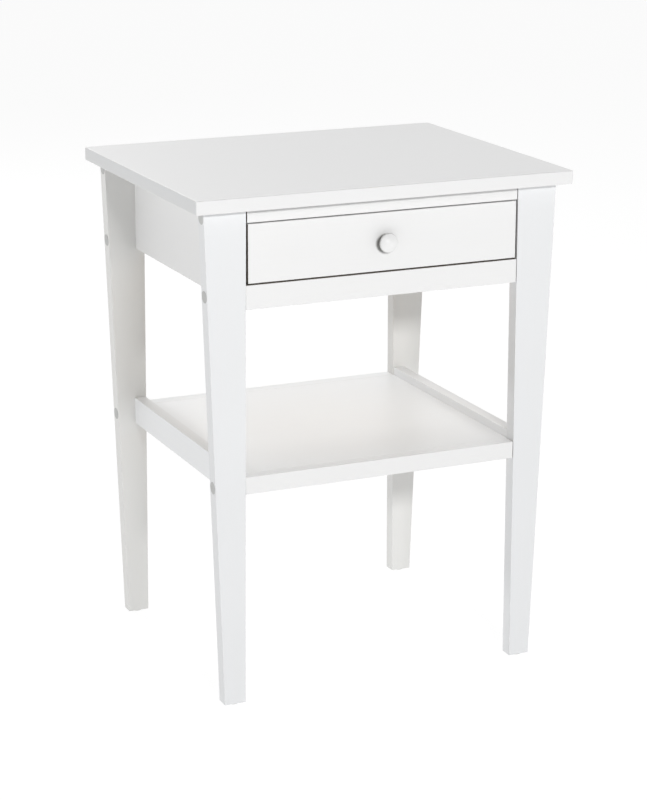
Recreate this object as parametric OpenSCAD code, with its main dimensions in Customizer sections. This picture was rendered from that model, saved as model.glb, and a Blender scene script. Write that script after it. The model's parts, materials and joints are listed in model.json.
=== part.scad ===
// Side table with one drawer and an open shelf between four tapered board legs.
// +X is the table's right, -Y its front, +Z up. The origin is on the floor under its middle.

/* [Overall size] */
// Width of the tabletop, left to right
table_w = 500; // [440:5:620]
// Depth of the tabletop, front to back
table_d = 400; // [380:5:480]
// Height of the top surface above the floor
table_h = 640; // [580:5:720]

/* [Tabletop] */
// Thickness of the tabletop board
top_t = 17; // [15:0.5:22]
// How far the tabletop stands out past the legs at each side
overhang_side = 15; // [8:1:20]
// How far the tabletop stands out past the legs at front and back
overhang_front = 17; // [17:1:24]
// Radius of the tabletop's corners, seen from above
top_corner_r = 3; // [1:0.5:8]

/* [Legs] */
// Thickness of a leg, front to back
leg_t = 18; // [18:0.5:24]
// Width of a leg under the tabletop
leg_w_top = 53.5; // [48:0.5:60]
// Width of a leg at its foot
leg_w_foot = 27.5; // [24:0.5:36]
// How much further out a leg's inner edge stands at the foot than at the top
leg_lean = 4; // [0:0.5:6]
// Diameter of the foot glides
glide_d = 14; // [10:0.5:17]
// Height of the foot glides
glide_h = 2; // [1:0.5:4]

/* [Rails and aprons] */
// Height of the rail above the drawer
top_rail_h = 17; // [15:0.5:20]
// Height of the opening for the drawer, between the two front rails
opening_h = 75.4; // [64:0.2:100]
// Height of the rail under the drawer
lower_rail_h = 29.6; // [24:0.2:36]
// Thickness of the side and back aprons
apron_t = 15; // [14:0.5:16]
// How far the side aprons stand in from the legs' outer edges at the top
apron_inset = 40.5; // [36:0.5:42]

/* [Shelf] */
// Shelf surface above the floor
shelf_z = 293.3; // [260:0.1:320]
// Height of the front and back shelf rails
shelf_rail_h = 21.8; // [20:0.2:26]
// Thickness of the shelf panel
shelf_t = 12; // [9:0.5:12]
// Height of the side shelf rails
side_rail_h = 35; // [32:0.5:44]
// How far the side shelf rails rise above the shelf surface
side_rail_rise = 10.7; // [6:0.1:14]

/* [Drawer] */
// Gap beside the drawer front at each end
drawer_gap_x = 2.4; // [1.5:0.1:4]
// Gap above the drawer front
drawer_gap_top = 1.6; // [1:0.1:3]
// Gap below the drawer front
drawer_gap_low = 2; // [1:0.1:3]
// Thickness of the drawer front
front_t = 16; // [16:0.5:17]
// Thickness of the drawer's sides and back
drawer_t = 12; // [12:0.5:13]
// Thickness of the drawer's bottom panel
bottom_t = 4; // [3:0.5:5]
// How far the drawer pulls out
drawer_travel = 240; // [180:5:240]

/* [Knob] */
// Diameter of the knob's head
knob_d = 24; // [20:0.5:32]
// Diameter of the knob's neck
knob_neck_d = 12; // [10:0.5:16]
// Length of the knob's neck
knob_neck_len = 6.2; // [5:0.1:8]
// How far the knob stands out from the drawer front
knob_out = 16; // [15:0.5:17]

/* [Fasteners] */
// Diameter of the cover caps on the legs' outer edges
cap_d = 15; // [13:0.5:16]
// Length of the connecting bolts
bolt_len = 70; // [64:1:72]
// Length of the wood screws
screw_len = 30; // [28:1:30]
// Diameter of the frame's wooden dowels
dowel_d = 8; // [6:0.5:8]

/* [Hidden] */
$fn = 48;

white = "#eeeeec";
raw_wood = "#d9bc8f";
steel = "#b9bcc0";
cap_grey = "#b4b6b4";
glide_white = "#dcdcda";

cut = 1;            // how far a cut runs past an open face
join = 0.01;        // how far two shapes of one solid run into each other
slip = 0.2;         // clearance round bolts, pins and panels that are not glued

// Legs
leg_top = table_h - top_t;
leg_x = table_w / 2 - overhang_side;
leg_y = table_d / 2 - overhang_front;
leg_in_y = leg_y - leg_t;
leg_mid_y = leg_y - leg_t / 2;
foot_in_x = leg_x - leg_w_top + leg_lean;
foot_out_x = foot_in_x + leg_w_foot;
function leg_inner(z) = leg_x - leg_w_top + leg_lean * (1 - z / leg_top);
function leg_outer(z) = foot_out_x + (leg_x - foot_out_x) * z / leg_top;
leg_slant = atan((leg_x - foot_out_x) / leg_top);
glide_x = foot_in_x + leg_w_foot / 2;
glide_pin_d = 2.5;
glide_pin_len = 14;

// Rails, aprons and shelf
top_rail_z = leg_top - top_rail_h;
lower_rail_top = top_rail_z - opening_h;
lower_rail_z = lower_rail_top - lower_rail_h;
apron_rise = 6;             // from the lower rail's underside up to the aprons'
apron_z = lower_rail_z + apron_rise;
apron_h = leg_top - apron_z;
apron_mid_z = apron_z + apron_h / 2;
apron_out_x = leg_x - apron_inset;
apron_in_x = apron_out_x - apron_t;
apron_mid_x = apron_out_x - apron_t / 2;
shelf_rail_z = shelf_z - shelf_rail_h;
side_rail_set_out = 0.9;    // of its inner face, past the legs' inner edges
side_rail_in_x = leg_inner(shelf_z) + side_rail_set_out;
side_rail_t = 15;
side_rail_mid_x = side_rail_in_x + side_rail_t / 2;
side_rail_z = shelf_z + side_rail_rise - side_rail_h;
shelf_cleat_w = 18;
shelf_cleat_h = 11;
shelf_cleat_gap = 5;        // between a shelf cleat's end and the legs

// Drawer
drawer_z = lower_rail_top + drawer_gap_low;
drawer_h = top_rail_z - drawer_gap_top - drawer_z;
drawer_x = leg_inner(leg_top) - drawer_gap_x;
front_back_y = -leg_y + front_t;
runner_clear = 0.3;
guide_clear = 0.6;
guide_w = 11;
box_out_x = apron_in_x - guide_w - guide_clear;
box_in_x = box_out_x - drawer_t;
box_rise = 1;               // the drawer's sides stand in from the front's lower edge
box_drop = 4.8;             // and from its upper edge
box_z = drawer_z + box_rise;
box_h = drawer_h - box_rise - box_drop;
box_top = box_z + box_h;
catch_len = 40;
catch_w = 30;
catch_reach = 6.6;          // how far the catch hangs in front of the drawer's back
catch_clear = 0.5;
catch_z = box_top - catch_reach;
catch_y = -leg_in_y + catch_len;
box_back_y = catch_y + drawer_travel + catch_clear;
box_end_y = box_back_y + drawer_t;
groove_rise = 6;
groove_z = box_z + groove_rise;
groove_h = bottom_t + slip;
groove_depth = 5;
bottom_tuck = groove_depth - 2 * slip;

// Strips that carry and steady the drawer
runner_in_x = box_in_x - 2 * slip;
runner_top = box_z - runner_clear;
runner_h = 16.3;
guide_h = 12;
stop_len = 12;
runner_end_y = box_end_y + runner_clear + stop_len;
cleat_w = 20;
cleat_clear = 1.4;          // above the drawer's sides
cleat_z = box_top + cleat_clear;

// Fasteners
low_bolt_drop = 11;         // from the lower rail's top to its bolts
bolt_z = [leg_top - top_rail_h / 2, lower_rail_top - low_bolt_drop, shelf_z - shelf_rail_h / 2];
bolt_d = 6;
bolt_head_d = 12;
bolt_head_h = 2.5;
bolt_sink = 11;             // depth of the counterbore that hides a bolt head
bolt_tilt = bolt_head_d / 2 * tan(leg_slant); // a level head on the slanting counterbore's floor
bolt_hole = 46;             // depth of the bolt hole in a rail's end
nut_d = 10;
nut_len = 12;
nut_back = 26;              // from a rail's end to its barrel nut
cap_t = 3;
cap_proud = 0.5;
dowel_len = 30;
dowel_in_leg = 10;
dowel_in_front = 10;        // of a drawer side's dowels, in the back of the drawer front
dowel_spread = 29;          // of an apron's dowels, above and below its cam
dowel_z = [apron_mid_z - dowel_spread, apron_mid_z + dowel_spread];
rail_dowel_lift = 13;       // of a side shelf rail's dowel, above the shelf bolt
rail_dowel_z = bolt_z[2] + rail_dowel_lift;
cam_z = apron_mid_z;
cam_d = 15;
cam_depth = 12.5;
cam_back = 34;              // from an apron's end to the middle of its cam
cam_slot = [8, 1.6, 1.5];   // length, width and depth of each slot of the cross in a cam
cam_pin_d = 6;
cam_hole_d = cam_pin_d + 1;
cam_thread_d = 5;
cam_in_leg = 11;
cam_head_len = 3;           // a cam dowel's head, and the thinner neck behind it
cam_neck_len = 6;
cam_head_y = -leg_in_y + cam_back - cam_head_len / 2;
screw_d = 4;
screw_head_d = 8;
screw_head_h = 2.4;
small_dowel_d = 6;
knob_screw_d = 4;
knob_screw_head_h = 2.6;
knob_screw_in_knob = 8;
box_joint_z = [box_z + box_h / 3, box_z + 2 * box_h / 3]; // dowels and screws of the drawer's sides
bottom_screw_x = [-110, 0, 110];
runner_screw_y = [-140, 0, 125];
cleat_screw_y = [-130, 10, 140];
shelf_screw_y = [-130, 0, 130];
cleat_up_y = [-100, 40, 110];
catch_screw_y = [catch_y - 3 * catch_len / 4, catch_y - catch_len / 4];
catch_grip = 20;            // thickness of wood over the sunk heads of the catch's screws
catch_head_z = leg_top - catch_grip;

// Places a front-right shape in any of the four corners
module corner(side, end) {
    mirror([side < 0 ? 1 : 0, 0, 0]) mirror([0, end > 0 ? 1 : 0, 0]) children();
}

module each_corner() {
    for (side = [-1, 1], end = [-1, 1]) corner(side, end) children();
}

module each_side() {
    for (side = [-1, 1]) mirror([side < 0 ? 1 : 0, 0, 0]) children();
}

// A cylinder from a point, pointing along X or Y
module rod_x(at, d, len) {
    translate(at) rotate([0, 90, 0]) cylinder(d = d, h = len);
}

module rod_y(at, d, len) {
    translate(at) rotate([-90, 0, 0]) cylinder(d = d, h = len);
}

// A box given by its lowest corner and its highest corner
module board(low, high) {
    translate(low) cube(high - low);
}

// Stands on a leg's slanting outer edge at height z, with +Z pointing out of the leg
module on_leg_edge(z) {
    translate([leg_outer(z), -leg_mid_y, z]) rotate([0, 90 + leg_slant, 0]) children();
}

// Countersunk screw from its head's face at the origin, going along +Z
module screw() {
    cylinder(d1 = screw_head_d, d2 = screw_d, h = screw_head_h);
    translate([0, 0, screw_head_h - join]) cylinder(d = screw_d, h = screw_len - screw_head_h);
}

// A screw and what its head cuts away in front of it, sunk under the face or level with it
module screw_hole(sink = 0) {
    screw();
    if (sink > 0) {
        translate([0, 0, -sink - cut]) cylinder(d = screw_head_d, h = sink + cut + join);
    } else {
        widening = cut * (screw_head_d - screw_d) / screw_head_h;
        translate([0, 0, -cut])
            cylinder(d1 = screw_head_d + widening, d2 = screw_d, h = screw_head_h + cut);
    }
}

// Puts a screw's shape at each screw of the right-hand runner, top cleat and shelf cleat
module at_side_screws() {
    for (y = runner_screw_y)
        translate([runner_in_x, y, runner_top - runner_h / 2]) rotate([0, 90, 0]) children();
    for (y = cleat_screw_y)
        translate([apron_in_x - cleat_w, y, (cleat_z + leg_top) / 2]) rotate([0, 90, 0]) children();
    for (y = cleat_up_y)
        translate([apron_in_x - cleat_w / 2, y, cleat_z]) children();
    for (y = shelf_screw_y)
        translate([side_rail_in_x - shelf_cleat_w, y, shelf_z - shelf_t - shelf_cleat_h / 2])
            rotate([0, 90, 0]) children();
}

module at_catch_screws() {
    for (y = catch_screw_y) translate([0, y, catch_head_z]) children();
}

// Bolt hole in a rail's right-hand front end, with the pocket for its barrel nut
module bolt_and_nut_hole(z, end_x) {
    rod_x([end_x - bolt_hole, -leg_mid_y, z], bolt_d + 2 * slip, bolt_hole + cut);
    rod_y([end_x - nut_back, -leg_mid_y - nut_len / 2, z], nut_d, leg_t);
}

module cam_at(z) {
    translate([apron_in_x, -leg_in_y + cam_back, z]) rotate([0, 90, 0]) children();
}

module tabletop() {
    color(white) difference() {
        translate([0, 0, leg_top]) linear_extrude(top_t) {
            square([table_w - 2 * top_corner_r, table_d], center = true);
            square([table_w, table_d - 2 * top_corner_r], center = true);
            for (side = [-1, 1], end = [-1, 1])
                translate([side * (table_w / 2 - top_corner_r), end * (table_d / 2 - top_corner_r)])
                    circle(r = top_corner_r);
        }
        each_side() at_side_screws() screw();
        at_catch_screws() screw();
    }
}

// The front right leg; the others are its mirror images
module leg() {
    color(white) difference() {
        translate([0, -leg_in_y, 0]) rotate([90, 0, 0]) linear_extrude(leg_t) polygon([
            [leg_inner(glide_h), glide_h],
            [leg_outer(glide_h), glide_h],
            [leg_outer(leg_top), leg_top],
            [leg_inner(leg_top), leg_top]
        ]);
        for (z = bolt_z) {
            rod_x([leg_inner(z) - cut, -leg_mid_y, z], bolt_d + 2 * slip, leg_w_top);
            on_leg_edge(z) translate([0, 0, -bolt_sink]) cylinder(d = cap_d, h = bolt_sink + cut);
        }
        for (z = dowel_z) rod_y([apron_mid_x, -leg_in_y - dowel_in_leg, z], dowel_d, leg_t);
        rod_y([side_rail_mid_x, -leg_in_y - dowel_in_leg, rail_dowel_z], dowel_d, leg_t);
        rod_y([apron_mid_x, -leg_in_y - cam_in_leg, cam_z], cam_thread_d, leg_t);
        translate([glide_x, -leg_mid_y, 0]) cylinder(d = glide_pin_d, h = glide_h + glide_pin_len);
    }
}

// A rail or apron between two legs, from its underside z to its top
module cross_board(z, h, y_out, t, end, bolts) {
    end_x = leg_inner(z + h);
    color(white) corner(1, end) difference() {
        board([-end_x, -y_out, z], [end_x, -y_out + t, z + h]);
        each_side() for (bz = bolts) bolt_and_nut_hole(bz, end_x);
    }
}

module front_top_rail() {
    cross_board(top_rail_z, top_rail_h, leg_y, leg_t, -1, [bolt_z[0]]);
}

module front_lower_rail() {
    cross_board(lower_rail_z, lower_rail_h, leg_y, leg_t, -1, [bolt_z[1]]);
}

module back_apron() {
    cross_board(apron_z, apron_h, leg_mid_y + apron_t / 2, apron_t, 1, [bolt_z[0], bolt_z[1]]);
}

module shelf_rail(end) {
    cross_board(shelf_rail_z, shelf_rail_h, leg_y, leg_t, end, [bolt_z[2]]);
}

module side_apron() {
    color(white) difference() {
        board([apron_in_x, -leg_in_y, apron_z], [apron_out_x, leg_in_y, leg_top]);
        at_side_screws() screw();
        for (end = [-1, 1]) corner(1, end) {
            for (z = dowel_z)
                rod_y([apron_mid_x, -leg_in_y - cut, z], dowel_d, dowel_len - dowel_in_leg + cut);
            rod_y([apron_mid_x, -leg_in_y - cut, cam_z], cam_hole_d, cam_back + cut);
            cam_at(cam_z) translate([0, 0, -cut]) cylinder(d = cam_d, h = cam_depth + cut);
        }
    }
}

module top_cleat() {
    color(raw_wood) difference() {
        board([apron_in_x - cleat_w, -leg_in_y, cleat_z], [apron_in_x, leg_in_y, leg_top]);
        at_side_screws() screw_hole();
    }
}

// L-shaped strip: the drawer side rides on its foot and is guided by its upstand
module drawer_runner() {
    color(raw_wood) difference() {
        translate([0, runner_end_y, 0]) rotate([90, 0, 0])
            linear_extrude(runner_end_y + leg_in_y) polygon([
                [runner_in_x, runner_top - runner_h],
                [apron_in_x, runner_top - runner_h],
                [apron_in_x, runner_top + guide_h],
                [apron_in_x - guide_w, runner_top + guide_h],
                [apron_in_x - guide_w, runner_top],
                [runner_in_x, runner_top]
            ]);
        at_side_screws() screw_hole();
    }
}

module drawer_end_stops() {
    color(raw_wood) each_side() board(
        [box_in_x, runner_end_y - stop_len, runner_top],
        [apron_in_x - guide_w, runner_end_y, runner_top + guide_h]
    );
}

module drawer_catch() {
    color(raw_wood) difference() {
        board([-catch_w / 2, -leg_in_y, catch_z], [catch_w / 2, catch_y, leg_top]);
        at_catch_screws() screw_hole(catch_head_z - catch_z);
    }
}

module shelf_panel() {
    half_x = side_rail_in_x - slip;
    half_y = leg_in_y - slip;
    color(white) board([-half_x, -half_y, shelf_z - shelf_t], [half_x, half_y, shelf_z]);
}

module shelf_side_rail() {
    color(white) difference() {
        board(
            [side_rail_in_x, -leg_in_y, side_rail_z],
            [side_rail_in_x + side_rail_t, leg_in_y, side_rail_z + side_rail_h]
        );
        at_side_screws() screw();
        for (end = [-1, 1]) corner(1, end) rod_y(
            [side_rail_mid_x, -leg_in_y - cut, rail_dowel_z], dowel_d, dowel_len - dowel_in_leg + cut
        );
    }
}

module shelf_cleat() {
    half_len = leg_in_y - shelf_cleat_gap;
    color(raw_wood) difference() {
        board(
            [side_rail_in_x - shelf_cleat_w, -half_len, shelf_z - shelf_t - shelf_cleat_h],
            [side_rail_in_x, half_len, shelf_z - shelf_t]
        );
        at_side_screws() screw_hole();
    }
}

// Dowels that join the drawer front to the sides, on the right-hand side
module side_dowels() {
    for (z = box_joint_z)
        rod_y([box_out_x - drawer_t / 2, front_back_y - dowel_in_front, z], small_dowel_d, dowel_len);
}

// Screws through the right-hand drawer side into the drawer's back
module at_back_screws() {
    for (z = box_joint_z)
        translate([box_out_x, box_back_y + drawer_t / 2, z]) rotate([0, -90, 0]) children();
}

// Screws up through the bottom panel into the drawer's back
module at_bottom_screws() {
    for (x = bottom_screw_x)
        translate([x, box_back_y + drawer_t / 2, groove_z + slip / 2]) children();
}

module drawer_front() {
    color(white) difference() {
        board([-drawer_x, -leg_y, drawer_z], [drawer_x, front_back_y, drawer_z + drawer_h]);
        board(
            [-box_in_x - groove_depth, front_back_y - groove_depth, groove_z],
            [box_in_x + groove_depth, front_back_y + cut, groove_z + groove_h]
        );
        each_side() side_dowels();
        rod_y([0, -leg_y - cut, drawer_z + drawer_h / 2], knob_screw_d + 2 * slip, front_t + 2 * cut);
    }
}

module drawer_side() {
    color(raw_wood) difference() {
        board([box_in_x, front_back_y, box_z], [box_out_x, box_end_y, box_z + box_h]);
        board(
            [box_in_x - cut, front_back_y - cut, groove_z],
            [box_in_x + groove_depth, box_end_y + cut, groove_z + groove_h]
        );
        side_dowels();
        at_back_screws() screw_hole();
    }
}

module drawer_back() {
    color(raw_wood) difference() {
        board([-box_in_x, box_back_y, groove_z + groove_h], [box_in_x, box_end_y, box_z + box_h]);
        each_side() at_back_screws() screw();
        at_bottom_screws() screw();
    }
}

module drawer_bottom() {
    low_z = groove_z + slip / 2;
    half_x = box_in_x + bottom_tuck;
    color(raw_wood) difference() {
        board([-half_x, front_back_y - bottom_tuck, low_z], [half_x, box_end_y, low_z + bottom_t]);
        at_bottom_screws() screw_hole();
    }
}

// Turned knob with a straight neck and a domed head, drilled for its screw
module drawer_knob() {
    neck_r = knob_neck_d / 2;
    head_r = knob_d / 2;
    rim = 3;
    dome = knob_out - knob_neck_len - 2 * rim;
    dome_r = (pow(head_r - rim, 2) + dome * dome) / (2 * dome);
    color(white) translate([0, -leg_y, drawer_z + drawer_h / 2]) rotate([90, 0, 0]) difference() {
        union() {
            cylinder(r = neck_r, h = knob_neck_len + rim);
            translate([0, 0, knob_neck_len + rim]) rotate_extrude() {
                translate([head_r - rim, 0]) circle(r = rim);
                translate([0, -rim]) square([head_r - rim, 2 * rim]);
            }
            intersection() {
                translate([0, 0, knob_out - dome_r]) sphere(r = dome_r);
                translate([0, 0, knob_neck_len + 2 * rim - join])
                    cylinder(r = head_r - rim, h = dome + cut);
            }
        }
        translate([0, 0, -cut]) cylinder(d = knob_screw_d, h = knob_screw_in_knob + cut);
    }
}

module knob_screw() {
    shank = front_t + knob_screw_in_knob;
    color(steel) translate([0, front_back_y, drawer_z + drawer_h / 2]) {
        rod_y([0, 0, 0], 2 * knob_screw_d, knob_screw_head_h);
        rod_y([0, -shank, 0], knob_screw_d, shank + join);
    }
}

module drawer_dowels() {
    color(raw_wood) each_side() side_dowels();
}

module drawer_screws() {
    color(steel) {
        each_side() at_back_screws() screw();
        at_bottom_screws() screw();
    }
}

module leg_bolts() {
    color(steel) each_corner() for (z = bolt_z) {
        head_x = leg_outer(z) - bolt_sink + bolt_tilt;
        rod_x([head_x, -leg_mid_y, z], bolt_head_d, bolt_head_h);
        rod_x([head_x - bolt_len, -leg_mid_y, z], bolt_d, bolt_len + join);
    }
}

// The bolt passes through the middle of its barrel nut
module barrel_nuts() {
    tops = [leg_top, lower_rail_top, shelf_z];
    color(steel) for (side = [-1, 1], end = [-1, 1], i = [0:2]) corner(side, end) {
        // the back apron is one board, so both of its nuts keep its own end
        top = end > 0 && i == 1 ? leg_top : tops[i];
        nut_x = leg_inner(top) - nut_back;
        difference() {
            rod_y([nut_x, -leg_mid_y - nut_len / 2, bolt_z[i]], nut_d, nut_len);
            rod_x([nut_x - nut_d, -leg_mid_y, bolt_z[i]], bolt_d, 2 * nut_d);
        }
    }
}

module cover_caps() {
    color(cap_grey) each_corner() for (z = bolt_z)
        on_leg_edge(z) translate([0, 0, -cap_t]) cylinder(d = cap_d, h = cap_t + cap_proud);
}

// A cam dowel's thread is in the leg and its head in the middle of the cam disc
module cam_dowels() {
    neck_y = cam_head_y - cam_neck_len;
    color(steel) each_corner() {
        rod_y([apron_mid_x, -leg_in_y - cam_in_leg, cam_z], cam_thread_d, cam_in_leg + join);
        rod_y([apron_mid_x, -leg_in_y, cam_z], cam_pin_d, neck_y + leg_in_y);
        rod_y([apron_mid_x, neck_y - join, cam_z], cam_pin_d / 2, cam_neck_len + 2 * join);
        rod_y([apron_mid_x, cam_head_y, cam_z], cam_pin_d, cam_head_len);
    }
}

// The way for the dowel's head runs from the disc's front to just past its middle
module cam_discs() {
    color(steel) each_corner() difference() {
        cam_at(cam_z) cylinder(d = cam_d, h = cam_depth);
        rod_y([apron_mid_x, -leg_in_y + cam_back - cam_d, cam_z], cam_hole_d, cam_d + cam_head_len);
        cam_at(cam_z) for (turn = [0, 90]) rotate([0, 0, turn])
            cube([cam_slot[0], cam_slot[1], 2 * cam_slot[2]], center = true);
    }
}

module frame_dowels() {
    color(raw_wood) each_corner() {
        for (z = dowel_z) rod_y([apron_mid_x, -leg_in_y - dowel_in_leg, z], dowel_d, dowel_len);
        rod_y([side_rail_mid_x, -leg_in_y - dowel_in_leg, rail_dowel_z], dowel_d, dowel_len);
    }
}

module frame_screws() {
    color(steel) {
        each_side() at_side_screws() screw();
        at_catch_screws() screw();
    }
}

// Nail-on glide: a thin disc with a rounded rim and a pin up into the leg
module foot_glides() {
    rim = glide_h / 2;
    color(glide_white) each_corner() translate([glide_x, -leg_mid_y, 0]) {
        rotate_extrude() {
            square([glide_d / 2 - rim, glide_h]);
            translate([glide_d / 2 - rim, rim]) circle(r = rim);
        }
        translate([0, 0, glide_h - join]) cylinder(d = glide_pin_d, h = glide_pin_len);
    }
}

tabletop();
corner(-1, -1) leg();  // front_leg_left
corner(1, -1) leg();  // front_leg_right
corner(-1, 1) leg();  // back_leg_left
corner(1, 1) leg();  // back_leg_right
front_top_rail();
front_lower_rail();
corner(-1, -1) side_apron();  // side_apron_left
side_apron();  // side_apron_right
back_apron();
corner(-1, -1) top_cleat();  // top_cleat_left
top_cleat();  // top_cleat_right
corner(-1, -1) drawer_runner();  // drawer_runner_left
drawer_runner();  // drawer_runner_right
drawer_end_stops();
drawer_catch();
shelf_panel();
shelf_rail(-1);  // shelf_front_rail
shelf_rail(1);  // shelf_back_rail
corner(-1, -1) shelf_side_rail();  // shelf_side_rail_left
shelf_side_rail();  // shelf_side_rail_right
corner(-1, -1) shelf_cleat();  // shelf_cleat_left
shelf_cleat();  // shelf_cleat_right
drawer_front();
corner(-1, -1) drawer_side();  // drawer_side_left
drawer_side();  // drawer_side_right
drawer_back();
drawer_bottom();
drawer_knob();
knob_screw();
drawer_dowels();
drawer_screws();
leg_bolts();
barrel_nuts();
cover_caps();
cam_dowels();
cam_discs();
frame_dowels();
frame_screws();
foot_glides();
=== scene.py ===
"""Looks of the side table: painted boards with eased edges, raw wood inside, fittings, light and camera."""

import json
import math

import bmesh
import bpy
from mathutils import Matrix, Vector


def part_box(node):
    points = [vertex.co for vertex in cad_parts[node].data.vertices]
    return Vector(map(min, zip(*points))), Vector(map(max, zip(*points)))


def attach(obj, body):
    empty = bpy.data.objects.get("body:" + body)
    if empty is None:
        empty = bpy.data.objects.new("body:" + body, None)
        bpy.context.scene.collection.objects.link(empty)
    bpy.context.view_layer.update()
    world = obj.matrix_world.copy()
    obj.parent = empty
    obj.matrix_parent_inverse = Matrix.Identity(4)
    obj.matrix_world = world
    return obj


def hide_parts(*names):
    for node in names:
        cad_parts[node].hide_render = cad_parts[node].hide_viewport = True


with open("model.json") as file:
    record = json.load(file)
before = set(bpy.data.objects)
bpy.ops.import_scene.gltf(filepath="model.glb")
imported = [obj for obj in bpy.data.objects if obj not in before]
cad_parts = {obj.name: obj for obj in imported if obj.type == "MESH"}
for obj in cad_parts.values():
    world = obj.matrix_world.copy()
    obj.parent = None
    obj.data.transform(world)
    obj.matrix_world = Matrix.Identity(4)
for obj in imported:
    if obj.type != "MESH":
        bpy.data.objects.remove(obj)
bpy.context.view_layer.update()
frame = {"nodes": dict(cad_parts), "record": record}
MM = 0.001

# Which boards are painted, and which are left raw. Each board's grain runs along the axis given.
PAINTED = {
    "tabletop": "X",
    "front_leg_left": "Z",
    "front_leg_right": "Z",
    "back_leg_left": "Z",
    "back_leg_right": "Z",
    "front_top_rail": "X",
    "front_lower_rail": "X",
    "side_apron_left": "Y",
    "side_apron_right": "Y",
    "back_apron": "X",
    "shelf_panel": "X",
    "shelf_front_rail": "X",
    "shelf_back_rail": "X",
    "shelf_side_rail_left": "Y",
    "shelf_side_rail_right": "Y",
    "drawer_front": "X",
}
RAW = {
    "top_cleat_left": "Y",
    "top_cleat_right": "Y",
    "drawer_runner_left": "Y",
    "drawer_runner_right": "Y",
    "drawer_end_stops": "X",
    "drawer_catch": "Y",
    "shelf_cleat_left": "Y",
    "shelf_cleat_right": "Y",
    "drawer_side_left": "Y",
    "drawer_side_right": "Y",
    "drawer_back": "X",
}
BODIES = frame["record"]["behaviour"]["bodies"]
BODY_OF = {node: body for body, nodes in BODIES.items() for node in nodes}

# Radius of eased edges: on painted boards, on those that differ, on raw boards and on the drawer's bottom
EASE = 0.5 * MM
EASE_OF = {"tabletop": 1.3 * MM, "shelf_panel": 0.3 * MM}
RAW_EASE = 0.6 * MM
BOTTOM_EASE = 0.3 * MM
EASE_SEGMENTS = 3
# Points of a CAD mesh nearer than this are one, and faces within this many degrees of each other are one
WELD = 0.01 * MM
FLAT_ANGLE = 0.5
# Points whose heights differ by less than this are level, and those this near a rail's end belong to it
LEVEL = 0.1 * MM
END_REACH = 0.5 * MM
# A board's own edges are sharper than this, in degrees, and this long or this near a corner of the board
SHARP_ANGLE = 50
EDGE_LENGTH = 8 * MM
CORNER_REACH = 4 * MM

# How white each painted board is, partly as painted light and shade: the shelf and its side rails are
# lighter, as painted light under the table; the back legs, the front legs, the tabletop and most of all the
# tabletop's end faces are darker, as painted shade; the front legs are also a little cool
FRAME_WHITE = (0.770, 0.770, 0.768)
WHITE_WITH_PAINTED_LIGHT_OF = {
    "tabletop": (0.760, 0.760, 0.760),
    "tabletop_shaded_ends": (0.655, 0.662, 0.665),
    "shelf_panel": (0.865, 0.880, 0.895),
    "shelf_side_rail_left": (0.820, 0.828, 0.836),
    "shelf_side_rail_right": (0.820, 0.828, 0.836),
    "front_leg_left": (0.736, 0.744, 0.753),
    "front_leg_right": (0.736, 0.744, 0.753),
    "back_leg_left": (0.722, 0.720, 0.704),
    "back_leg_right": (0.722, 0.720, 0.704),
}

# Rails that stop a little short of the legs, so that a dark joint shows: left and right gap
JOINT_GAP = {
    "front_top_rail": (1.5 * MM, 1.0 * MM),
    "front_lower_rail": (0.0, 0.7 * MM),
    "shelf_front_rail": (0.0, 0.7 * MM),
}
# Faces left as bare wood and made dark as painted shade of the narrow joint gaps: the ends that meet or
# face the legs, and the top of the rail under the drawer
GAP_SHADE_FACES = {
    "front_top_rail": "X",
    "front_lower_rail": "XZ",
    "shelf_front_rail": "X",
    "drawer_front": "X",
}

# Painted shade round the knob, a dark ring that stands for the knob's shadow and the shade under its head:
# colour, how much it covers, and how far its middle lies left of and below the knob's middle
KNOB_SHADE = (0.16, 0.16, 0.145)
KNOB_SHADE_COVER = 0.72
KNOB_SHADE_LEFT = 1.0 * MM
KNOB_SHADE_DOWN = 2.0 * MM
# Where the painted shade fades: from inside the knob's outline to outside it, and along the knob from its
# face
KNOB_SHADE_INSIDE = 2.0 * MM
KNOB_SHADE_OUTSIDE = 0.5 * MM
KNOB_SHADE_ON_KNOB = (4.5 * MM, 7.0 * MM)
# How ragged the painted shade's edges are on the drawer front and on the knob, and how many specks there
# are in a metre
KNOB_SHADE_RAGGED = 0.8 * MM
KNOB_SHADE_RAGGED_ON_KNOB = 0.5 * MM
KNOB_SHADE_SPECKS = 300.0

# Paint: the share of white that its dull patches keep, the wood that shows where it is thin, the size of
# its grain, and the depth of its grain and roller texture
DULL_SHARE = 0.985
WORN_THROUGH = (0.68, 0.64, 0.57)
GRAIN_LENGTH = 90 * MM
GRAIN_WIDTH = 2.2 * MM
GRAIN_DEPTH = 0.04 * MM
STIPPLE_DEPTH = 0.025 * MM

# Colours of the unpainted materials, the darker first
PINE_RINGS = ((0.66, 0.47, 0.28), (0.77, 0.60, 0.40), (0.80, 0.64, 0.44))
PINE_STREAK = (0.70, 0.49, 0.29)
PINE_FIBRE = (0.56, 0.38, 0.22)
# Bare wood in the joint gaps, darkened as painted shade of the gaps
GAP_SHADE_DARK = (0.155, 0.135, 0.112)
GAP_SHADE_PALE = (0.26, 0.23, 0.19)
GAP_SHADE_PATCH = (0.20, 0.178, 0.15)
BOARD_DARK = (0.50, 0.40, 0.29)
BOARD_PALE = (0.66, 0.56, 0.43)
BOARD_PATCH = (0.58, 0.47, 0.34)
ZINC_DARK = (0.58, 0.60, 0.63)
ZINC_PALE = (0.72, 0.72, 0.72)
CAP_DARK = (0.455, 0.460, 0.452)
CAP_PALE = (0.505, 0.508, 0.500)
GLIDE_DARK = (0.60, 0.60, 0.58)
GLIDE_PALE = (0.74, 0.74, 0.72)

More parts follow.
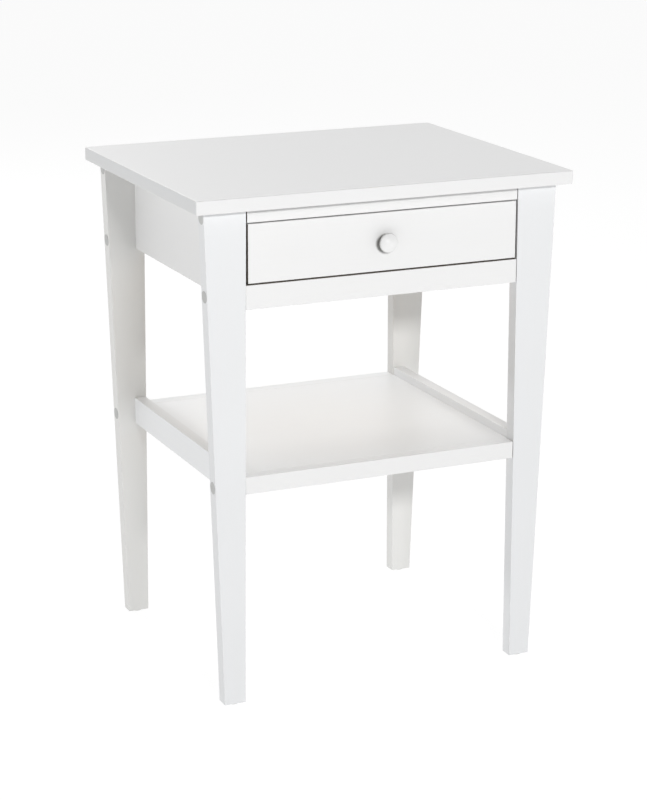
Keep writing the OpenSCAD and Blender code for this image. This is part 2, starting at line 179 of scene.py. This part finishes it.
# Turned knob: radius and length of its neck, and the rounding of its foot, its throat and the head's rim
KNOB_NECK_R = 6.0 * MM
KNOB_NECK_LENGTH = 6.2 * MM
KNOB_FOOT_R = 1.2 * MM
KNOB_THROAT_R = 1.6 * MM
KNOB_RIM_R = 3.0 * MM
# Heights of the points along its neck, the angle where its rim turns into its face, and the steps round it
# and across its face
KNOB_NECK_POINTS = (2.0 * MM, 3.4 * MM, 4.8 * MM)
KNOB_RIM_END = 65
KNOB_STEPS = 64
KNOB_FACE_STEPS = 8

# Cover caps: radius, how far they stand out of the leg and go into it, and the rounding of their rim
CAP_R = 7.5 * MM
CAP_PROUD = 0.5 * MM
CAP_DEPTH = 3.0 * MM
CAP_RIM_R = 0.6 * MM
# How much thinner the part in the leg is, and how deep it starts
CAP_SLACK = 0.1 * MM
CAP_SLACK_DEPTH = 0.2 * MM
# How far the cap's face rises above its rim, at shares of its radius
CAP_FACE = ((0.6, 0.05 * MM), (0.3, 0.08 * MM), (0.0, 0.08 * MM))
CAP_STEPS = 40
# Caps further apart in height than this are at different joints
CAP_ROW_GAP = 20 * MM

# Fittings whose CAD shape is right
STEEL_NODES = (
    "knob_screw",
    "drawer_screws",
    "leg_bolts",
    "barrel_nuts",
    "cam_dowels",
    "cam_discs",
    "frame_screws",
)
DOWEL_NODES = ("drawer_dowels", "frame_dowels")

# Stage, in metres, degrees and watts. Floor: how pale it is, how strongly it glows, and half its width
FLOOR_WHITE = 0.21
FLOOR_GLOW = 0.84
FLOOR_HALF = 30
# Parts of the sky's strength, multiplied: axis, from and to along it, and the strengths there
SKY_SHAPE = (
    ("Z", 0.45, 0.85, 1.05, 0.5),
    ("Y", -0.8, -0.1, 0.3, 1.0),
    ("Y", 0.1, 0.7, 1.0, 1.2),
    ("X", -0.9, -0.2, 0.35, 1.0),
)
# Soft lights: name, place, the point they aim at, width and height, and power
LIGHTS = (
    ("key", (-0.35, -3.33, 1.75), (0.0, 0.0, 0.4), (0.8, 0.25), 60),
    ("side_light", (-3.15, 0.0, 1.62), (0.0, 0.0, 0.35), (0.3, 0.3), 19),
    ("back_light", (0.0, 2.9, 2.4), (0.0, 0.0, 0.4), (0.8, 0.8), 24),
)

# Camera: its place, the direction it stands in from the table, its roll, and its lens and sensor in mm
CAMERA_PLACE = (-1.2010, -2.6525, 1.1613)
CAMERA_AZIMUTH = -24.39
CAMERA_ELEVATION = 15.11
CAMERA_ROLL = 0.19
SENSOR_WIDTH = 36.0
LENS = 104.6
SHIFT_Y = -0.05


# ---------------------------------------------------------------- materials


class Nodes:
    """Short helper that builds one material's node tree."""

    def __init__(self, name):
        self.material = bpy.data.materials.new(name)
        self.material.use_nodes = True
        self.tree = self.material.node_tree
        self.shader = self.tree.nodes["Principled BSDF"]
        self.place = self.add("ShaderNodeTexCoord").outputs["Object"]

    def add(self, kind, **settings):
        node = self.tree.nodes.new(kind)
        for key, value in settings.items():
            setattr(node, key, value)
        return node

    def link(self, source, target):
        self.tree.links.new(source, target)

    def stretched(self, scale):
        """Object coordinates, scaled by axis."""
        mapping = self.add("ShaderNodeMapping")
        mapping.inputs["Scale"].default_value = scale
        self.link(self.place, mapping.inputs["Vector"])
        return mapping.outputs["Vector"]

    def noise(self, scale, detail=3.0, rough=0.5, where=None, distort=0.0):
        """Noise with about this many features in a metre, or in a unit of the coordinates given."""
        node = self.add("ShaderNodeTexNoise")
        node.inputs["Scale"].default_value = scale
        node.inputs["Detail"].default_value = detail
        node.inputs["Roughness"].default_value = rough
        node.inputs["Distortion"].default_value = distort
        self.link(where or self.place, node.inputs["Vector"])
        return node.outputs["Fac"]

    def ramp(self, fac, *stops):
        """Colours by a socket's value; each stop is a value and a colour."""
        node = self.add("ShaderNodeValToRGB")
        while len(node.color_ramp.elements) < len(stops):
            node.color_ramp.elements.new(0.5)
        for element, (position, colour) in zip(node.color_ramp.elements, stops):
            element.position = position
            element.color = (*colour, 1.0)
        self.link(fac, node.inputs["Fac"])
        return node.outputs["Color"]

    def range(self, fac, low, high, from_low=0.0, from_high=1.0):
        """A socket's value, moved from one range to another and clamped to it."""
        node = self.add("ShaderNodeMapRange")
        node.inputs["From Min"].default_value = from_low
        node.inputs["From Max"].default_value = from_high
        node.inputs["To Min"].default_value = low
        node.inputs["To Max"].default_value = high
        self.link(fac, node.inputs["Value"])
        return node.outputs["Result"]

    def mix(self, fac, under, colour):
        """Covers a colour socket with a colour, by a socket's value."""
        node = self.add("ShaderNodeMix", data_type="RGBA")
        self.link(fac, node.inputs[0])
        self.link(under, node.inputs[6])
        node.inputs[7].default_value = (*colour, 1.0)
        return node.outputs[2]

    def math(self, operation, a, b):
        node = self.add("ShaderNodeMath", operation=operation)
        self.link(a, node.inputs[0])
        self.link(b, node.inputs[1])
        return node.outputs[0]

    def bump(self, height, distance, under=None):
        """A bump this high in metres, on top of the normal of another one."""
        node = self.add("ShaderNodeBump")
        node.inputs["Distance"].default_value = distance
        node.inputs["Strength"].default_value = 1.0
        self.link(height, node.inputs["Height"])
        if under:
            self.link(under, node.inputs["Normal"])
        return node.outputs["Normal"]

    def finish(self, colour, roughness, normal, metallic=0.0, specular=0.5):
        """Links the shader and returns the finished material."""
        self.link(colour, self.shader.inputs["Base Color"])
        self.link(roughness, self.shader.inputs["Roughness"])
        self.link(normal, self.shader.inputs["Normal"])
        self.shader.inputs["Metallic"].default_value = metallic
        self.shader.inputs["Specular IOR Level"].default_value = specular
        return self.material


def along(axis, length, across):
    """Texture scale with features length long along one axis and across wide over it, in metres."""
    return tuple(1 / length if name == axis else 1 / across for name in "XYZ")


def white_paint(name, axis, white, painted_shade=None):
    """Satin paint over wood: faint roller texture, grain that just shows, thinner paint along edges, and
    painted shade where a mask for it is given.
    """
    n = Nodes(f"{name}_paint")
    dull = tuple(DULL_SHARE * part for part in white)
    grain_place = n.stretched(along(axis, GRAIN_LENGTH, GRAIN_WIDTH))
    grain = n.noise(1.0, detail=4, rough=0.6, where=grain_place)
    cloud = n.noise(5.0, detail=2)
    stipple = n.noise(900.0, detail=2)
    paint = n.ramp(cloud, (0.3, dull), (0.7, white))
    paint = n.mix(n.range(grain, 0.0, 0.05, 0.5, 0.75), paint, WORN_THROUGH)
    edge = n.add("ShaderNodeAttribute", attribute_name="edge_wear").outputs["Fac"]
    worn = n.math("MULTIPLY", edge, n.range(n.noise(60.0, detail=4), 0.0, 0.4, 0.55, 0.8))
    paint = n.mix(worn, paint, WORN_THROUGH)
    # The knob's painted shade: a dark colour mixed in by its mask
    if painted_shade:
        paint = n.mix(painted_shade(n), paint, KNOB_SHADE)
    rough = n.range(cloud, 0.36, 0.46)
    normal = n.bump(grain, GRAIN_DEPTH)
    normal = n.bump(stipple, STIPPLE_DEPTH, under=normal)
    return n.finish(paint, rough, normal, specular=0.45)


def painted_shade_round_foot(n):
    """Painted shade on the drawer front: a dark ring behind the knob's head, set a little left and down,
    that stands for the knob's shadow.
    """
    low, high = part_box("drawer_knob")
    middle = ((low.x + high.x) / 2 - KNOB_SHADE_LEFT, high.y, (low.z + high.z) / 2 - KNOB_SHADE_DOWN)
    away = n.add("ShaderNodeVectorMath", operation="DISTANCE")
    away.inputs[1].default_value = middle
    n.link(n.place, away.inputs[0])
    ragged = n.range(n.noise(KNOB_SHADE_SPECKS), -KNOB_SHADE_RAGGED, KNOB_SHADE_RAGGED)
    blurred = n.math("ADD", away.outputs["Value"], ragged)
    reach = (high.x - low.x) / 2
    return n.range(blurred, KNOB_SHADE_COVER, 0.0, reach - KNOB_SHADE_INSIDE, reach + KNOB_SHADE_OUTSIDE)


def painted_shade_behind_head(n):
    """The same painted shade on the knob's neck and on the back of its head."""
    low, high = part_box("drawer_knob")
    split = n.add("ShaderNodeSeparateXYZ")
    n.link(n.place, split.inputs["Vector"])
    ragged = n.range(n.noise(KNOB_SHADE_SPECKS), -KNOB_SHADE_RAGGED_ON_KNOB, KNOB_SHADE_RAGGED_ON_KNOB)
    blurred = n.math("ADD", split.outputs["Y"], ragged)
    start, stop = KNOB_SHADE_ON_KNOB
    return n.range(blurred, 0.0, KNOB_SHADE_COVER, low.y + start, low.y + stop)


def raw_pine(axis):
    """Planed pine, unfinished: long growth lines, a few darker streaks and fine pores."""
    n = Nodes(f"raw_pine_{axis.lower()}")
    bend = n.noise(1.0, detail=2, where=n.stretched(along(axis, 350 * MM, 60 * MM)))
    rings = n.add("ShaderNodeTexWave", wave_type="BANDS", bands_direction="DIAGONAL")
    rings.inputs["Scale"].default_value = 0.55
    rings.inputs["Distortion"].default_value = 5.0
    rings.inputs["Detail"].default_value = 2.0
    rings.inputs["Detail Scale"].default_value = 1.2
    n.link(n.stretched(along(axis, 160 * MM, 10 * MM)), rings.inputs["Vector"])
    fibre_place = n.stretched(along(axis, 30 * MM, 0.8 * MM))
    fibre = n.noise(1.0, detail=5, rough=0.65, where=fibre_place)
    pale = n.ramp(rings.outputs["Fac"], *zip((0.0, 0.45, 1.0), PINE_RINGS))
    pale = n.mix(n.range(bend, 0.0, 0.35, 0.45, 0.7), pale, PINE_STREAK)
    pale = n.mix(n.range(fibre, 0.0, 0.3, 0.5, 0.8), pale, PINE_FIBRE)
    rough = n.range(fibre, 0.55, 0.72)
    normal = n.bump(fibre, 0.12 * MM, under=n.bump(rings.outputs["Fac"], 0.08 * MM))
    return n.finish(pale, rough, normal, specular=0.3)


def bare_wood_gap_shade():
    """Unpainted end grain where boards meet, made dark as painted shade in the narrow joint gaps."""
    n = Nodes("bare_wood_gap_shade")
    pores = n.noise(700.0, detail=4, rough=0.7)
    patch = n.noise(40.0, detail=3)
    brown = n.ramp(pores, (0.3, GAP_SHADE_DARK), (0.7, GAP_SHADE_PALE))
    brown = n.mix(n.range(patch, 0.0, 0.5, 0.4, 0.8), brown, GAP_SHADE_PATCH)
    return n.finish(brown, n.range(pores, 0.6, 0.8), n.bump(pores, 0.1 * MM), specular=0.25)


def fibre_board():
    """The drawer's thin bottom: hardboard, smooth, with short fibres pressed flat."""
    n = Nodes("fibre_board")
    fibre = n.noise(420.0, detail=6, rough=0.7, distort=1.5)
    patch = n.noise(18.0, detail=3)
    brown = n.ramp(fibre, (0.25, BOARD_DARK), (0.75, BOARD_PALE))
    brown = n.mix(n.range(patch, 0.0, 0.4, 0.4, 0.8), brown, BOARD_PATCH)
    return n.finish(brown, n.range(patch, 0.40, 0.55), n.bump(fibre, 0.08 * MM), specular=0.35)


def zinc_steel():
    """Zinc plate: cool grey with cloudy patches and fine scratches."""
    n = Nodes("zinc_steel")
    cloud = n.noise(160.0, detail=3)
    scratch = n.noise(1.0, detail=4, rough=0.7, where=n.stretched((400.0, 3000.0, 3000.0)))
    grey = n.ramp(cloud, (0.3, ZINC_DARK), (0.7, ZINC_PALE))
    rough = n.range(cloud, 0.24, 0.42)
    return n.finish(grey, rough, n.bump(scratch, 0.01 * MM), metallic=1.0)


def cap_plastic():
    """Moulded cover caps: matt light grey, finely textured."""
    n = Nodes("cap_plastic")
    speck = n.noise(2400.0, detail=2)
    cloud = n.noise(90.0, detail=2)
    grey = n.ramp(cloud, (0.3, CAP_DARK), (0.7, CAP_PALE))
    return n.finish(grey, n.range(cloud, 0.50, 0.60), n.bump(speck, 0.02 * MM), specular=0.4)


def glide_plastic():
    """Nail-on glides: hard white plastic, scuffed underneath."""
    n = Nodes("glide_plastic")
    scuff = n.noise(1.0, detail=5, rough=0.7, where=n.stretched((300.0, 1500.0, 300.0)))
    pale = n.ramp(scuff, (0.35, GLIDE_DARK), (0.7, GLIDE_PALE))
    return n.finish(pale, n.range(scuff, 0.35, 0.55), n.bump(scuff, 0.03 * MM), specular=0.5)


# ---------------------------------------------------------------- mesh helpers


def clean_copy(node):
    """A CAD node's shape as a bmesh: welded, with its flat faces whole again."""
    bm = bmesh.new()
    bm.from_mesh(frame["nodes"][node].data)
    bmesh.ops.remove_doubles(bm, verts=bm.verts, dist=WELD)
    flat = math.radians(FLAT_ANGLE)
    bmesh.ops.dissolve_limit(bm, angle_limit=flat, verts=bm.verts, edges=bm.edges)
    bmesh.ops.recalc_face_normals(bm, faces=bm.faces)
    return bm


def is_board_edge(edge, low, high):
    """A sharp edge of the board's outline: a long one, or one at a rounded corner of the board."""
    if not edge.is_manifold or edge.calc_face_angle(0.0) < math.radians(SHARP_ANGLE):
        return False
    middle = (edge.verts[0].co + edge.verts[1].co) / 2
    near = sum(min(middle[i] - low[i], high[i] - middle[i]) < CORNER_REACH for i in range(3))
    return edge.calc_length() > EDGE_LENGTH or near == 3


def ease_edges(bm, radius, keep=None):
    """Rounds a board's edges, but those to keep, and marks the strips, where the paint is thinner."""
    low = [min(v.co[i] for v in bm.verts) for i in range(3)]
    high = [max(v.co[i] for v in bm.verts) for i in range(3)]
    outline = [edge for edge in bm.edges if is_board_edge(edge, low, high)]
    chosen = [edge for edge in outline if not (keep and keep(edge))]
    wear = bm.faces.layers.float.new("edge_wear")
    made = bmesh.ops.bevel(
        bm,
        geom=chosen,
        offset=radius,
        offset_type="OFFSET",
        segments=EASE_SEGMENTS,
        profile=0.5,
        affect="EDGES",
        clamp_overlap=True,
        harden_normals=False,
    )
    for face in made["faces"]:
        face[wear] = 1.0


def shorten(bm, left, right):
    """Moves a rail's two ends in, away from the legs."""
    low = min(v.co.x for v in bm.verts)
    high = max(v.co.x for v in bm.verts)
    for vert in bm.verts:
        if vert.co.x < low + END_REACH:
            vert.co.x += left
        elif vert.co.x > high - END_REACH:
            vert.co.x -= right


def edges_at(height):
    """A test for edges that lie at a height, such as a leg's under the tabletop."""
    return lambda edge: all(abs(vert.co.z - height) < LEVEL for vert in edge.verts)


def faces_on(axes, height):
    """A test for the faces of a board's two ends, for "X", and of its top at a height, for "Z"."""

    def test(face):
        is_end = "X" in axes and abs(face.normal.x) > 0.9
        is_up = "Z" in axes and face.normal.z > 0.9
        return is_end or (is_up and face.calc_center_median().z > height - MM)

    return test


def mark_faces(bm, index, test):
    """Gives the faces that pass a test the piece's material of that number."""
    for face in bm.faces:
        if test(face):
            face.material_index = index


def piece_from(bm, name, material, nodes, body, more=()):
    """Turns a bmesh into a shown piece that stands for some CAD nodes."""
    mesh = bpy.data.meshes.new(name)
    for face in bm.faces:
        face.smooth = True
    bm.to_mesh(mesh)
    bm.free()
    for each in (material, *more):
        mesh.materials.append(each)
    piece = bpy.data.objects.new(name, mesh)
    bpy.context.scene.collection.objects.link(piece)
    even = piece.modifiers.new("even_normals", "WEIGHTED_NORMAL")
    even.keep_sharp = True
    even.weight = 100
    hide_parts(*nodes)
    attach(piece, body)


def lathe(bm, profile, steps, matrix):
    """Turns a profile of (radius, height) points about Z and puts it where the matrix says."""
    rings = []
    for radius, height in profile:
        if radius < 1e-6:
            rings.append([bm.verts.new(matrix @ Vector((0, 0, height)))])
            continue
        turn = [2 * math.pi * i / steps for i in range(steps)]
        rings.append([
            bm.verts.new(matrix @ Vector((radius * math.cos(a), radius * math.sin(a), height)))
            for a in turn
        ])
    for low, high in zip(rings, rings[1:]):
        for i in range(steps):
            j = (i + 1) % steps
            corners = [low[i % len(low)], low[j % len(low)], high[j % len(high)], high[i % len(high)]]
            unique = list(dict.fromkeys(corners))
            if len(unique) > 2:
                bm.faces.new(unique)
    bmesh.ops.recalc_face_normals(bm, faces=bm.faces)


def arc(centre, radius, start, end, steps):
    """Points on an arc in the profile's plane; angles in degrees from the radius axis."""
    cx, cz = centre
    angles = [math.radians(start + (end - start) * i / steps) for i in range(steps + 1)]
    return [(cx + radius * math.cos(a), cz + radius * math.sin(a)) for a in angles]


# ---------------------------------------------------------------- pieces


def painted_boards():
    """Every painted board, from its CAD mesh, with its paint, its dark bare faces of painted gap shade, and
    its faces of painted light and shade.
    """
    paints = {}
    gap_shade = bare_wood_gap_shade()

    def paint_for(node, axis):
        white = WHITE_WITH_PAINTED_LIGHT_OF.get(node, FRAME_WHITE)
        # Only the drawer front carries painted shade, round the knob
        painted_shade = painted_shade_round_foot if node == "drawer_front" else None
        if (axis, white, painted_shade) not in paints:
            paints[axis, white, painted_shade] = white_paint(node, axis, white, painted_shade)
        return paints[axis, white, painted_shade]

    for node, axis in PAINTED.items():
        bm = clean_copy(node)
        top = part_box(node)[1].z
        if node in JOINT_GAP:
            shorten(bm, *JOINT_GAP[node])
        meets_top = "leg" in node or "apron" in node or node == "front_top_rail"
        keep = edges_at(top) if meets_top else None
        ease_edges(bm, EASE_OF.get(node, EASE), keep)
        more = []
        # Faces in the joint gaps get the dark bare wood: painted shade
        axes = GAP_SHADE_FACES.get(node, "")
        if axes:
            more.append(gap_shade)
            mark_faces(bm, len(more), faces_on(axes, top))
        # The tops of the shelf's front and back rails take the shelf's lighter paint: painted light
        if node in ("shelf_front_rail", "shelf_back_rail"):
            more.append(paint_for("shelf_panel", "X"))
            mark_faces(bm, len(more), faces_on("Z", top))
        # The tabletop's end faces take a darker paint: painted shade on its sides
        if node == "tabletop":
            more.append(paint_for("tabletop_shaded_ends", "X"))
            mark_faces(bm, len(more), faces_on("X", top))
        name = f"{node}_painted"
        piece_from(bm, name, paint_for(node, axis), [node], BODY_OF[node], more)


def raw_boards(pines):
    """The unpainted boards inside, from their CAD meshes, in the pine for each one's grain."""
    for node, axis in RAW.items():
        bm = clean_copy(node)
        ease_edges(bm, RAW_EASE)
        piece_from(bm, f"{node}_planed", pines[axis], [node], BODY_OF[node])


def drawer_bottom():
    """The thin panel in the drawer's grooves."""
    bm = clean_copy("drawer_bottom")
    ease_edges(bm, BOTTOM_EASE)
    piece_from(bm, "drawer_bottom_board", fibre_board(), ["drawer_bottom"], "drawer")


def drawer_knob():
    """A turned mushroom knob: flared foot, narrow neck, rounded rim and a domed face."""
    low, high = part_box("drawer_knob")
    head_r = (high.x - low.x) / 2
    length = high.y - low.y
    foot = arc((KNOB_NECK_R + KNOB_FOOT_R, KNOB_FOOT_R), KNOB_FOOT_R, 270, 180, 4)
    neck = [(KNOB_NECK_R, z) for z in KNOB_NECK_POINTS]
    throat_middle = (KNOB_NECK_R + KNOB_THROAT_R, KNOB_NECK_LENGTH - KNOB_THROAT_R)
    throat = arc(throat_middle, KNOB_THROAT_R, 180, 90, 5)
    rim_middle = (head_r - KNOB_RIM_R, KNOB_NECK_LENGTH + KNOB_RIM_R)
    rim = arc(rim_middle, KNOB_RIM_R, -90, KNOB_RIM_END, 12)
    top_r, top_z = rim[-1]
    inward = [i / KNOB_FACE_STEPS for i in range(1, KNOB_FACE_STEPS + 1)]
    dome = [(top_r * (1 - t), top_z + (length - top_z) * (1 - (1 - t) ** 2)) for t in inward]
    profile = [(0, 0)] + foot + neck + throat + rim + dome
    centre = Vector(((low.x + high.x) / 2, high.y, (low.z + high.z) / 2))
    bm = bmesh.new()
    turn = Matrix.Rotation(math.radians(90), 4, "X")
    lathe(bm, profile, KNOB_STEPS, Matrix.Translation(centre) @ turn)
    # The knob's neck and the back of its head carry painted shade
    paint = white_paint("knob", "Y", FRAME_WHITE, painted_shade_behind_head)
    piece_from(bm, "drawer_knob_turned", paint, ["drawer_knob"], "drawer")


def leg_slant():
    """Angle of a leg's outer edge from upright, and where the edge meets the foot."""
    low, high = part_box("front_leg_right")
    vertices = frame["nodes"]["front_leg_right"].data.vertices
    bottom = max(v.co.x for v in vertices if v.co.z < low.z + LEVEL)
    top = max(v.co.x for v in vertices if v.co.z > high.z - LEVEL)
    return math.atan2(top - bottom, high.z - low.z), bottom, low.z


def cover_caps():
    """Twelve press-in caps, each a flat disc with a rounded rim, on the legs' slanting edges."""
    slant, foot_x, foot_z = leg_slant()
    leg_low, leg_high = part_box("front_leg_right")
    leg_y = abs(leg_low.y + leg_high.y) / 2
    heights = cap_heights()
    shank_r = CAP_R - CAP_SLACK
    profile = [(0, -CAP_DEPTH), (shank_r, -CAP_DEPTH), (shank_r, -CAP_SLACK_DEPTH)]
    profile += arc((CAP_R - CAP_RIM_R, CAP_PROUD - CAP_RIM_R), CAP_RIM_R, 0, 90, 5)
    profile += [(CAP_R * share, CAP_PROUD + rise) for share, rise in CAP_FACE]
    bm = bmesh.new()
    for side in (-1, 1):
        for end in (-1, 1):
            for z in heights:
                x = foot_x + (z - foot_z) * math.tan(slant)
                turn = Matrix.Rotation(side * (math.radians(90) + slant), 4, "Y")
                lathe(bm, profile, CAP_STEPS, Matrix.Translation((side * x, end * leg_y, z)) @ turn)
    piece_from(bm, "cover_caps_moulded", cap_plastic(), ["cover_caps"], "frame")


def cap_heights():
    """Heights of the caps' middles, from the separate discs in the CAD node."""
    mesh = frame["nodes"]["cover_caps"].data
    zs = sorted(v.co.z for v in mesh.vertices)
    groups = [[zs[0]]]
    for z in zs[1:]:
        if z - groups[-1][-1] > CAP_ROW_GAP:
            groups.append([])
        groups[-1].append(z)
    return [(g[0] + g[-1]) / 2 for g in groups]


def plain_fittings(pine):
    """Fittings whose CAD shape is right keep it and get their finish."""
    steel = zinc_steel()
    for node in STEEL_NODES:
        give(node, steel)
    for node in DOWEL_NODES:
        give(node, pine)
    give("foot_glides", glide_plastic())


def give(node, material):
    """Sets a kept CAD node's only material."""
    data = frame["nodes"][node].data
    data.materials.clear()
    data.materials.append(material)


# ---------------------------------------------------------------- stage, light and camera


def floor():
    """A wide pale floor that glows a little, so that shadows on it stay faint."""
    bm = bmesh.new()
    bmesh.ops.create_grid(bm, x_segments=8, y_segments=8, size=FLOOR_HALF)
    mesh = bpy.data.meshes.new("floor")
    bm.to_mesh(mesh)
    bm.free()
    material = bpy.data.materials.new("floor_white")
    material.use_nodes = True
    shader = material.node_tree.nodes["Principled BSDF"]
    shader.inputs["Base Color"].default_value = (FLOOR_WHITE, FLOOR_WHITE, FLOOR_WHITE, 1.0)
    shader.inputs["Roughness"].default_value = 0.9
    shader.inputs["Specular IOR Level"].default_value = 0.0
    shader.inputs["Emission Color"].default_value = (1.0, 1.0, 1.0, 1.0)
    shader.inputs["Emission Strength"].default_value = FLOOR_GLOW
    mesh.materials.append(material)
    ground = bpy.data.objects.new("floor", mesh)
    bpy.context.scene.collection.objects.link(ground)


def sky():
    """Soft white light from all round, shaped by direction; whatever shows behind the object is white."""
    world = bpy.data.worlds.new("studio")
    world.use_nodes = True
    bpy.context.scene.world = world
    tree = world.node_tree
    background = tree.nodes["Background"]
    background.inputs["Color"].default_value = (1.0, 1.0, 1.0, 1.0)
    direction = tree.nodes.new("ShaderNodeTexCoord")
    split = tree.nodes.new("ShaderNodeSeparateXYZ")
    tree.links.new(direction.outputs["Generated"], split.inputs["Vector"])
    light = None
    for axis, start, stop, low, high in SKY_SHAPE:
        part = tree.nodes.new("ShaderNodeMapRange")
        part.interpolation_type = "SMOOTHSTEP"
        for name, value in (("From Min", start), ("From Max", stop), ("To Min", low), ("To Max", high)):
            part.inputs[name].default_value = value
        tree.links.new(split.outputs[axis], part.inputs["Value"])
        light = multiplied(tree, light, part.outputs["Result"]) if light else part.outputs["Result"]
    ray = tree.nodes.new("ShaderNodeLightPath")
    shown = tree.nodes.new("ShaderNodeMix")
    tree.links.new(ray.outputs["Is Camera Ray"], shown.inputs[0])
    tree.links.new(light, shown.inputs[2])
    shown.inputs[3].default_value = 1.0
    tree.links.new(shown.outputs[0], background.inputs["Strength"])


def multiplied(tree, a, b):
    """Product of two sockets in a node tree."""
    node = tree.nodes.new("ShaderNodeMath")
    node.operation = "MULTIPLY"
    tree.links.new(a, node.inputs[0])
    tree.links.new(b, node.inputs[1])
    return node.outputs[0]


def softbox(name, place, aim, size, power):
    """A rectangular light that the camera doesn't see."""
    light = bpy.data.lights.new(name, "AREA")
    light.shape = "RECTANGLE"
    light.size, light.size_y = size
    light.energy = power
    lamp = bpy.data.objects.new(name, light)
    lamp.location = place
    lamp.rotation_euler = (Vector(aim) - Vector(place)).to_track_quat("-Z", "Y").to_euler()
    lamp.visible_camera = False
    bpy.context.scene.collection.objects.link(lamp)


def camera():
    """Camera at the front left, looking down on the table a little."""
    data = bpy.data.cameras.new("camera")
    data.sensor_width = SENSOR_WIDTH
    data.lens = LENS
    data.shift_y = SHIFT_Y
    cam = bpy.data.objects.new("camera", data)
    a, e = math.radians(CAMERA_AZIMUTH), math.radians(CAMERA_ELEVATION)
    back = Vector((math.sin(a) * math.cos(e), -math.cos(a) * math.cos(e), math.sin(e)))
    cam.location = CAMERA_PLACE
    cam.rotation_mode = "QUATERNION"
    roll = Matrix.Rotation(math.radians(CAMERA_ROLL), 4, back).to_quaternion()
    cam.rotation_quaternion = roll @ (-back).to_track_quat("-Z", "Y")
    bpy.context.scene.collection.objects.link(cam)
    bpy.context.scene.camera = cam


# ---------------------------------------------------------------- making


camera()
floor()
sky()
for light_row in LIGHTS:
    softbox(*light_row)
pine_by_grain = {axis: raw_pine(axis) for axis in "XY"}
painted_boards()
raw_boards(pine_by_grain)
drawer_bottom()
drawer_knob()
cover_caps()
plain_fittings(pine_by_grain["Y"])

bpy.context.scene.view_settings.view_transform = "Standard"
